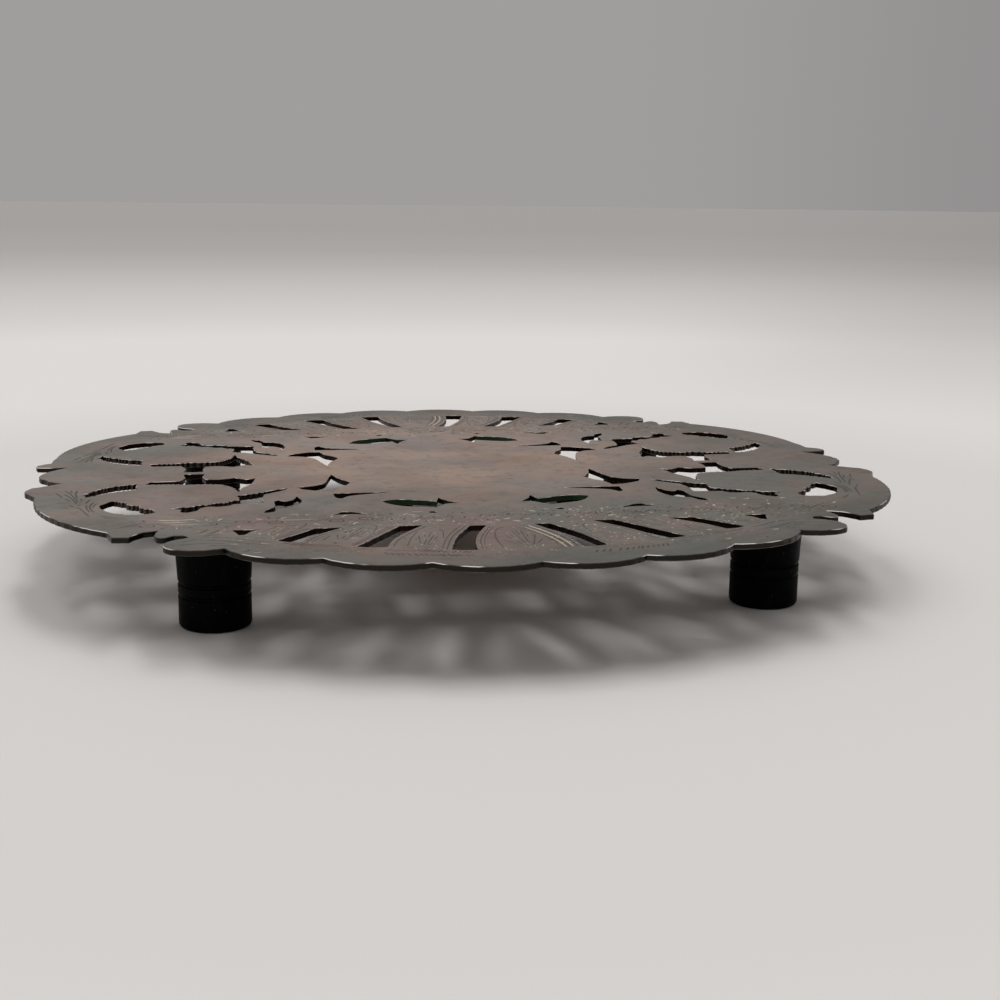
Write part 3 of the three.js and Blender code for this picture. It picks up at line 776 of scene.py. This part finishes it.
def quarter_lines(draw, is_right):
    """Every line of one quarter with its tone and width, the boldest first."""
    for points in LOBE_LINES + LEAF_LINES:
        yield smooth(points), DARK, BOLD
    if not is_right:
        yield from ((smooth(points), tone, BOLD) for points, tone in STREAKS)
    shells = [(shell(*place), FINE) for place in (SHELLS if is_right else SHELLS[1:])]
    for lines, bold in [(ray_lines(is_right), MEDIUM), *shells, (rim_band(draw), BOLD), (vine(draw), BOLD)]:
        yield from ((line, tone, bold) for line, tone in lines)
    for (left, right), (near, far), (least, most), count in CURLS:
        for _ in range(count if is_right else count // 2):
            middle = (draw.uniform(left, right), draw.uniform(near, far))
            reach = draw.uniform(least, most)
            start = draw.uniform(0, 2 * math.pi)
            turns = np.linspace(start, start + draw.uniform(*CURL_LENGTH), 8)
            curl = np.stack([np.cos(turns) * reach, np.sin(turns) * reach * 0.8], 1) + middle
            yield smooth(curl), draw.choice((DARK, BRIGHT) if is_right else (DARK, SOFT, GLEAM)), BOLD


def evenly(line):
    """The same line with points at even steps, and its length."""
    steps = np.linalg.norm(np.diff(line, axis=0), axis=1)
    travel = np.concatenate([[0], np.cumsum(steps)])
    count = max(4, round(travel[-1] / LINE_STEP) + 1)
    at = np.linspace(0, travel[-1], count)
    return np.stack([np.interp(at, travel, line[:, axis]) for axis in (0, 1)], 1), travel[-1]


def free_runs(line, is_free):
    """The stretches of a line that have room, where they are three points or more."""
    free = [is_free(x, y) for x, y in line]
    start = 0
    while start < len(line):
        end = start
        while end < len(line) and free[end]:
            end += 1
        if end - start >= 3:
            yield line[start:end]
        start = end + 1


def cut_line(run, length, tone, bold, draw):
    """A groove along the run that narrows to a point at both ends."""
    at = np.linspace(0, length, len(run))
    to_end = np.minimum(at, length - at)
    taper = min(TAPER, length / 3)
    width = bold * LINE_HALF * draw.uniform(*UNEVEN) * np.clip(to_end / taper, 0, 1) ** 0.6
    depth = bold * (DARK_DEPTH if tone > 0 else BRIGHT_DEPTH) * draw.uniform(*UNEVEN)
    return Stroke(run, width, depth, tone * draw.uniform(0.8, 1))


def engraved(half):
    """All strokes of one half plate, each clear of the openings and of one another."""
    draw = random.Random(half)
    edges = np.vstack([border.points for border in borders[half]])
    tree = KDTree(len(edges))
    for index, (x, y) in enumerate(edges):
        tree.insert((x, y, 0), index)
    tree.balance()
    taken = {}
    strokes = []

    def cell(x, y):
        return int(x // APART), int(y // APART)

    def is_free(x, y):
        if tree.find((x, y, 0))[2] < KEEP_OFF:
            return False
        column, row = cell(x, y)
        cells = [(column + step, row + jump) for step in (-1, 0, 1) for jump in (-1, 0, 1)]
        return all(math.dist((x, y), point) > APART for near in cells for point in taken.get(near, ()))

    for sign_x in (1, -1):
        for line, tone, bold in quarter_lines(draw, sign_x > 0):
            line, _ = evenly(line + np.array([draw.gauss(0, HAND), draw.gauss(0, HAND)]))
            for run in free_runs(line * (sign_x, 1 if half == "back" else -1), is_free):
                run, length = evenly(run)
                if length >= SHORTEST:
                    strokes.append(cut_line(run, length, tone, bold, draw))
                    for x, y in run:
                        taken.setdefault(cell(x, y), []).append((x, y))
    return strokes


engraving = {half: engraved(half) for half in ("front", "back")}
print("engraved strokes:", {half: len(strokes) for half, strokes in engraving.items()})

# %% [markdown]
# ## From outline to sheet
#
# The sheet is built from its borders. Six rings of points round each border make the wall with a rounded upper
# and lower edge. Each level says how far its ring is set in and how far it rises from the top or bottom, both in
# radii of the edge, what is painted there, and how far the surface tilts. The flat top and bottom are filled with
# triangles between the innermost rings. The fill is a constrained triangulation: it keeps every given side, so an
# engraved line can be laid into it as a real V-shaped cut with its own bottom.

# %% Build one half of the sheet
SLOPE = 1 - math.sqrt(0.5)
Level = namedtuple("Level", "inset at_top rise wall edge tilt")
# The edge column places an edge's painted glints and painted dark; the wall column places the wall's colours with
# their painted light and shade.
LEVELS = [
    Level(1, True, 0, 0, 0, 0), Level(SLOPE, True, -SLOPE, 0, 1, 45), Level(0, True, -1, 1, 0, 90),
    Level(0, False, 1, 1, 0, 90), Level(SLOPE, False, SLOPE, 0.6, 0.15, 135), Level(1, False, 0, 0, 0, 180),
]
NO_AREA = 1e-14


def mesh_object(name, places, faces):
    mesh = bpy.data.meshes.new(name)
    mesh.from_pydata(places, [], faces)
    mesh.polygons.foreach_set("use_smooth", [True] * len(faces))
    return placed(name, mesh)


def ring_points(rings, bottom, top):
    """The points of all levels round each border, with every painted mask's value there."""
    places = []
    masks = {name: [] for name in PAINTED}
    for level in LEVELS:
        height = top if level.at_top else bottom
        for ring in rings:
            flat = ring.points + ring.normals * (level.inset * ring.rounding)[:, None]
            places += [(x * MM, y * MM, (height + level.rise * r) * MM) for (x, y), r in zip(flat, ring.rounding)]
            masks["edge"] += list(level.edge * ring.worn)
            masks["knob"] += list(ring.knob)
            for mask, value in (("wall", level.wall), ("rim", ring.rim), ("green", ring.green), ("cut", 0)):
                masks[mask] += [float(value)] * len(ring.points)
    return places, masks


def wall_faces(rings):
    """The faces from level to level, with the normals that make the edges look rounded."""
    count = sum(len(ring.points) for ring in rings)
    faces = []
    normals = []
    start = 0
    for ring in rings:
        size = len(ring.points)
        square = -leftward(unit(np.roll(ring.points, -1, 0) - ring.points))
        out = -ring.normals
        for step in range(size):
            after = (step + 1) % size
            first = square[step] if ring.corners[step] else out[step]
            last = square[step] if ring.corners[after] else out[after]
            for level in range(len(LEVELS) - 1):
                here = level * count + start
                below = here + count
                faces.append((here + step, below + step, below + after, here + after))
                upper, lower = (math.radians(LEVELS[level + extra].tilt) for extra in (0, 1))
                for way, tilt in ((first, upper), (first, lower), (last, lower), (last, upper)):
                    normals.append((*(way * math.sin(tilt)), math.cos(tilt)))
        start += size
    return faces, normals


def cap_triangles(rings, strokes):
    """Triangles between the rings, with each made point's depth and tone."""
    points = [tuple(point) for ring in rings for point in ring]
    sides = []
    for ring in rings:
        start, count = len(sides), len(ring)
        sides += [(start + step, start + (step + 1) % count) for step in range(count)]
    ring_sides = list(sides)
    sunk = [(0.0, 0.0)] * len(points)
    for stroke in strokes:
        line = stroke.line
        across = leftward(unit(np.gradient(line, axis=0))) * stroke.half_width[:, None]
        count = len(line)
        first = len(points)
        points += map(tuple, line)
        shares = stroke.half_width / stroke.half_width.max()
        sunk += [(stroke.depth * share, stroke.tone * share) for share in shares]
        sides += [(first + step, first + step + 1) for step in range(count - 1)]
        for side in (1, -1):
            flank = len(points)
            points += map(tuple, (line + side * across)[1:-1])
            sunk += [(0.0, 0.0)] * (count - 2)
            chain = [first, *range(flank, flank + count - 2), first + count - 1]
            sides += list(zip(chain, chain[1:]))
    found, made_sides, triangles, sources, side_sources, _ = delaunay_2d_cdt(
        [Vector(point) for point in points], sides, [], 0, 1e-6)
    place = {source: made for made, group in enumerate(sources) for source in group}
    neighbour = {}
    for index, triangle in enumerate(triangles):
        for a, b in zip(triangle, triangle[1:] + triangle[:1]):
            neighbour[(a, b)] = index
    metal = {neighbour[side] for side in ((place[a], place[b]) for a, b in ring_sides) if side in neighbour}
    fence = set()
    for (a, b), given in zip(made_sides, side_sources):
        if any(source < len(ring_sides) for source in given):
            fence |= {(a, b), (b, a)}
    waiting = list(metal)
    while waiting:
        triangle = triangles[waiting.pop()]
        for a, b in zip(triangle, triangle[1:] + triangle[:1]):
            other = neighbour.get((b, a))
            if (a, b) not in fence and other is not None and other not in metal:
                metal.add(other)
                waiting.append(other)
    depth_of = [max((sunk[source] for source in group), default=(0.0, 0.0)) for group in sources]
    return found, [triangles[index] for index in sorted(metal)], place, depth_of


def half_sheet(name, rings, strokes, bottom, top):
    """One half plate as a mesh object. Heights are in mm."""
    places, masks = ring_points(rings, bottom, top)
    faces, normals = wall_faces(rings)
    count = len(places) // len(LEVELS)
    inner = [ring.points + ring.normals * ring.rounding[:, None] for ring in rings]
    for height, lines, start, up in ((top, strokes, 0, 1), (bottom, [], len(places) - count, -1)):
        found, triangles, place, depth_of = cap_triangles(inner, lines)
        index_of = {place[source]: start + source for source in range(count)}
        for made, point in enumerate(found):
            if made not in index_of:
                depth, tone = depth_of[made]
                index_of[made] = len(places)
                places.append((point[0] * MM, point[1] * MM, (height - depth) * MM))
                for mask, values in masks.items():
                    values.append(tone if mask == "cut" else 0.0)
        for triangle in triangles:
            corners = [index_of[corner] for corner in triangle][::up]
            faces.append(corners)
            a, b, c = (np.array(places[corner]) for corner in corners)
            normal = np.cross(b - a, c - a)
            length = np.linalg.norm(normal)
            normals += [tuple(normal / length) if length > NO_AREA else (0, 0, up)] * 3
    sheet = mesh_object(name, places, faces)
    for mask, values in masks.items():
        layer = sheet.data.attributes.new(mask, "FLOAT", "POINT")
        layer.data.foreach_set("value", np.array(values, np.float32))
    sheet.data.normals_split_custom_set(normals)
    sheet.data.update()
    return sheet


# %% Build both halves
low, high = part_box("front_plate")
plate_bottom, plate_top = low.z / MM, high.z / MM
for half in ("front", "back"):
    sheet = half_sheet(f"{half}_sheet", borders[half], engraving[half], plate_bottom, plate_top)
    sheet.data.materials.append(silver)
    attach(sheet, f"{half}_half")
    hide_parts(f"{half}_plate")
    print(half, "sheet faces:", len(sheet.data.polygons))

# %% [markdown]
# ## The feet
#
# Each foot is a little black tub with two grooves round it. The base is almost straight, its lower edge is
# rounded, and the collar over the upper groove widens to the plate. Underneath is the recess for its screw. A foot
# is round about an upright axis, so a helper spins its profile: radii and heights up the outside and down the
# inside. A corner that should look crisp is kept sharp, and the rest is shaded smooth.

# %% Spin a profile
SIDES = 72
CRISP = math.radians(32)


def circle(radius, height, count, centre=(0, 0)):
    """The points of a level circle."""
    angles = [2 * math.pi * side / count for side in range(count)]
    return [(centre[0] + radius * math.cos(angle), centre[1] + radius * math.sin(angle), height) for angle in angles]


def belt(lower, upper, count):
    """The faces between two circles of points, each given by the number of its first point."""
    return [
        (lower + side, lower + (side + 1) % count, upper + (side + 1) % count, upper + side) for side in range(count)
    ]


def spun(name, profile, centre):
    """A round piece from a closed loop of radii and heights in mm, about a centre in metres."""
    places = []
    faces = []
    for row, (radius, height) in enumerate(profile):
        places += circle(radius * MM, height * MM, SIDES, centre)
        faces += belt(row * SIDES, (row + 1) % len(profile) * SIDES, SIDES)
    piece = mesh_object(name, places, faces)
    piece.data.set_sharp_from_angle(angle=CRISP)
    piece.data.update()
    return piece


# %% Mould the four feet
FOOT_BASE = 7.35
FOOT_TOP = 7.95
EDGE_ROUND = 1.0
GROOVES = (6.9, 9.4)
GROOVE_HALF = 0.42
GROOVE_SINK = 0.42
COLLAR_START = GROOVES[1] + GROOVE_HALF + 0.25
FLANGE_ROOM = 4.9
BOSS_ROOM = 3.2
SHANK_ROOM = 1.7
HEAD_ROOM = 3.8
RECESS_TOP = 6.0
SEAT_TOP = 14.0
FLANGE_LEVEL = 19.2


def foot_profile(height):
    outside = []
    for step in range(7):
        angle = math.radians(90 * step / 6)
        outside.append((FOOT_BASE - EDGE_ROUND * (1 - math.sin(angle)), EDGE_ROUND * (1 - math.cos(angle))))
    for groove in GROOVES:
        for step in range(9):
            angle = math.pi * step / 8
            outside.append((FOOT_BASE - GROOVE_SINK * math.sin(angle), groove - GROOVE_HALF * math.cos(angle)))
    collar = [(FOOT_BASE + 0.06, COLLAR_START), (FOOT_TOP - 0.03, height - 0.3), (FOOT_TOP - 0.1, height)]
    inside = [
        (FLANGE_ROOM, height), (FLANGE_ROOM, FLANGE_LEVEL), (BOSS_ROOM, FLANGE_LEVEL), (BOSS_ROOM, SEAT_TOP),
        (SHANK_ROOM, SEAT_TOP), (SHANK_ROOM, RECESS_TOP), (HEAD_ROOM, RECESS_TOP), (HEAD_ROOM, 0.3),
        (HEAD_ROOM + 0.3, 0),
    ]
    return outside + collar + inside


corners = [(half, side) for half in ("front", "back") for side in ("left", "right")]
for half, side in corners:
    node = f"{half}_{side}_foot"
    low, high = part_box(node)
    foot = spun(f"{half}_{side}_black_foot", foot_profile(high.z / MM), (low + high) / 2)
    foot.data.materials.append(plastic)
    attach(foot, f"{half}_half")
    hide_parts(node)
print("feet:", len(corners))

# %% [markdown]
# ## The brass and steel underneath
#
# The frame's own runners, bridges, bosses, screws and pins are the right shape already. A narrow bevel takes the
# machine-sharp corners off them, and they get their brass or steel.

# %% Dress the parts that stay
BEVEL_WIDTH = 0.15 * MM
BEVEL_TURN = math.radians(35)
stay = {name: node for name, node in nodes.items() if not name.endswith(("_plate", "_foot"))}
for name, node in stay.items():
    bevel = node.modifiers.new("soft edges", "BEVEL")
    bevel.width = BEVEL_WIDTH
    bevel.segments = 2
    bevel.limit_method = "ANGLE"
    bevel.angle_limit = BEVEL_TURN
    node.data.materials.clear()
    node.data.materials.append(steel if name.endswith("_screw") else brass)
print("parts of the frame that stay:", len(stay))

# %% [markdown]
# ## Floor and backdrop
#
# The trivet stands on a pale table whose colour holds painted light: a little darker close to the trivet, a lighter
# ring beyond it, then painted shade that darkens it with distance until it is as grey as the room behind, and a
# little painted shade towards the right, where less light falls. The floor is one flat disc, and the room is the
# grey of the world.

# %% Make the floor
FLOOR_RINGS = (0.15, 0.3, 0.45, 0.6, 0.8, 1.0, 1.3, 1.7, 2.3, 3.4, 6.0, 12.0)
FLOOR_SIDES = 96
FLOOR_PALE = colour(229, 225, 222)
PAINTED_FALLOFF_END = 3.4
DIM_REACH = (0.3, 0.66)
DIM_AWAY = (0.2, 0.6)
DIM_SHARE = 0.18
FLOOR_ROUGH = 0.75
FLOOR_SHEEN = 0.2
# Painted light on the table: its brightness at each distance in metres.
PAINTED_FALLOFF = [
    (0.0, 0.95), (0.2, 0.95), (0.3, 1.05), (0.57, 1.05), (0.73, 0.93), (0.95, 0.83), (1.18, 0.74), (1.5, 0.63),
    (2.0, 0.54), (3.4, 0.492),
]


def pale_table():
    material, tree, shader = new_material("pale_table")
    place = own_place(tree)
    radius = vector(tree, "LENGTH", place)
    ramp = add(tree, "ShaderNodeValToRGB", None, {"Fac": maths(tree, "DIVIDE", radius, PAINTED_FALLOFF_END, clamp=True)})
    stops = ramp.color_ramp.elements
    while len(stops) < len(PAINTED_FALLOFF):
        stops.new(0.5)
    for stop, (where, level) in zip(stops, PAINTED_FALLOFF):
        stop.position = where / PAINTED_FALLOFF_END
        stop.color = [min(1, level * channel) for channel in FLOOR_PALE[:3]] + [1]
    # Painted shade towards the right, where less light falls.
    rightward = maths(tree, "DIVIDE", along(tree, place, "X"), radius)
    painted_dim = times(tree, eased(tree, rightward, *DIM_REACH, DIM_SHARE), eased(tree, radius, *DIM_AWAY))
    tree.links.new(mixed(tree, painted_dim, ramp.outputs["Color"], (0, 0, 0, 1)), shader.inputs["Base Color"])
    shader.inputs["Roughness"].default_value = FLOOR_ROUGH
    shader.inputs["Specular IOR Level"].default_value = FLOOR_SHEEN
    return material


table_points = [(0, 0, 0)]
table_faces = [(0, 1 + side, 1 + (side + 1) % FLOOR_SIDES) for side in range(FLOOR_SIDES)]
for row, radius in enumerate(FLOOR_RINGS):
    table_points += circle(radius, 0, FLOOR_SIDES)
    if row > 0:
        outer = 1 + row * FLOOR_SIDES
        table_faces += belt(outer, outer - FLOOR_SIDES, FLOOR_SIDES)
floor = mesh_object("table", table_points, table_faces)
floor.data.materials.append(pale_table())
print("table radius, m:", FLOOR_RINGS[-1])

# %% [markdown]
# ## Light
#
# In the photograph large soft lamps overhead make a soft shadow with blurred rays of light from the openings. Rows
# of broad suns and a dim even sky do the same. Each row is given by its way across, its strength and its width in
# degrees. The suns stay out of mirrors, because a sun is no shape to see. The camera, and the metal that mirrors
# the room, see the room itself: grey at the table's height and pale overhead.

# %% Hang the lamps
SKY = (0.3, 0.2955, 0.2925, 1)
ROOM_GREY = colour(160, 158, 157)
ROOM_DIM = colour(144, 142, 142)
MIRROR_LEFT = colour(189, 185, 182)
MIRROR_RIGHT = colour(146, 144, 142)
ROOM_TOP = colour(255, 252, 249)
MIRROR_TURN = (-0.2, 0.5)
ROOM_TURN = (0.25, 0.55)
OVERHEAD = (0.4, 0.85)
LAMPS = [(-4.5, 0.8, 13), (6.0, 0.42, 13), (14.0, 0.32, 30), (-13.0, 0.22, 30)]
SLANTS = (-8.0, -3.0, 2.0)
LAMP_HEIGHT = 20.9
WIDE_LAMP = ((0.0, -2.0, -LAMP_HEIGHT), 0.26, 100)
world = bpy.data.worlds.new("soft_room")
world.use_nodes = True
room = world.node_tree
path = add(room, "ShaderNodeLightPath")
seen = maths(room, "MAXIMUM", path.outputs["Is Camera Ray"], path.outputs["Is Glossy Ray"])
seen = maths(room, "MAXIMUM", seen, path.outputs["Is Transmission Ray"])
background = room.nodes["Background"]
way = add(room, "ShaderNodeTexCoord").outputs["Generated"]
mirrored = mixed(room, eased(room, along(room, way, "X"), *MIRROR_TURN), MIRROR_LEFT, MIRROR_RIGHT)
mirrored = mixed(room, eased(room, along(room, way, "Z"), *OVERHEAD), mirrored, ROOM_TOP)
plain = mixed(room, eased(room, along(room, way, "X"), *ROOM_TURN), ROOM_GREY, ROOM_DIM)
room_light = mixed(room, path.outputs["Is Camera Ray"], mirrored, plain)
room.links.new(mixed(room, seen, SKY, room_light), background.inputs["Color"])
background.inputs["Strength"].default_value = 1
bpy.context.scene.world = world


def hang_lamp(name, towards, strength, width):
    """A sun that shines one way. Its width is in degrees: a wider one makes a softer shadow."""
    data = bpy.data.lights.new(name, "SUN")
    data.energy = strength
    data.angle = math.radians(width)
    made = placed(name, data)
    made.rotation_mode = "QUATERNION"
    made.rotation_quaternion = Vector(towards).to_track_quat("-Z", "Y")
    made.visible_glossy = False


for row, (across, strength, width) in enumerate(LAMPS):
    for slant in SLANTS:
        hang_lamp(f"lamp_{row}", (across, slant, -LAMP_HEIGHT), strength / len(SLANTS), width)
hang_lamp("wide_lamp", *WIDE_LAMP)
print("suns:", len(LAMPS) * len(SLANTS) + 1)
bpy.context.scene.view_settings.view_transform = "Standard"
